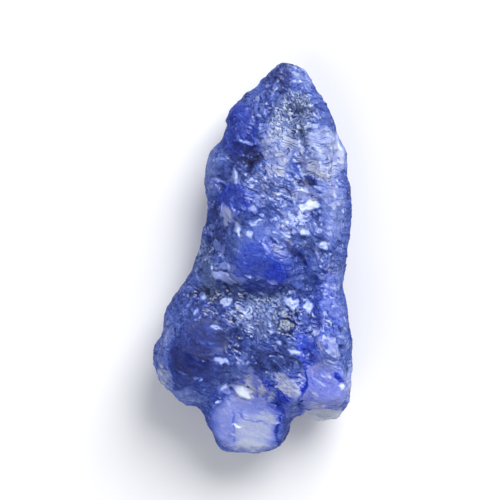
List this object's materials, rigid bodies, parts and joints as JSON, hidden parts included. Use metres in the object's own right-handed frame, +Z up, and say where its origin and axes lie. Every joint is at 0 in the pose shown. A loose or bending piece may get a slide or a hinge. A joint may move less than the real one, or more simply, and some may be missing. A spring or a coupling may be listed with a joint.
{
  "type": "rough sapphire",
  "caption": "Uncut violet-blue sapphire fragment with a hackly broken surface, a narrow tip and a wide foot, lying on the flat breaks on its back.",
  "frame": {"origin": "on the table, under the middle of the stone's length and width", "axes": "+Y along the stone, from the thin lug at its foot to its narrow tip; +Z up from the table, through the face that the picture shows; +X to the right of that face"},
  "size_m": [0.0192, 0.0376, 0.0109],
  "materials": {
    "violet_blue_crystal": "translucent violet-blue corundum, glassy on its broken faces"
  },
  "bodies": {
    "root": {"sapphire_crystal": "violet_blue_crystal"}
  },
  "joints": []
}
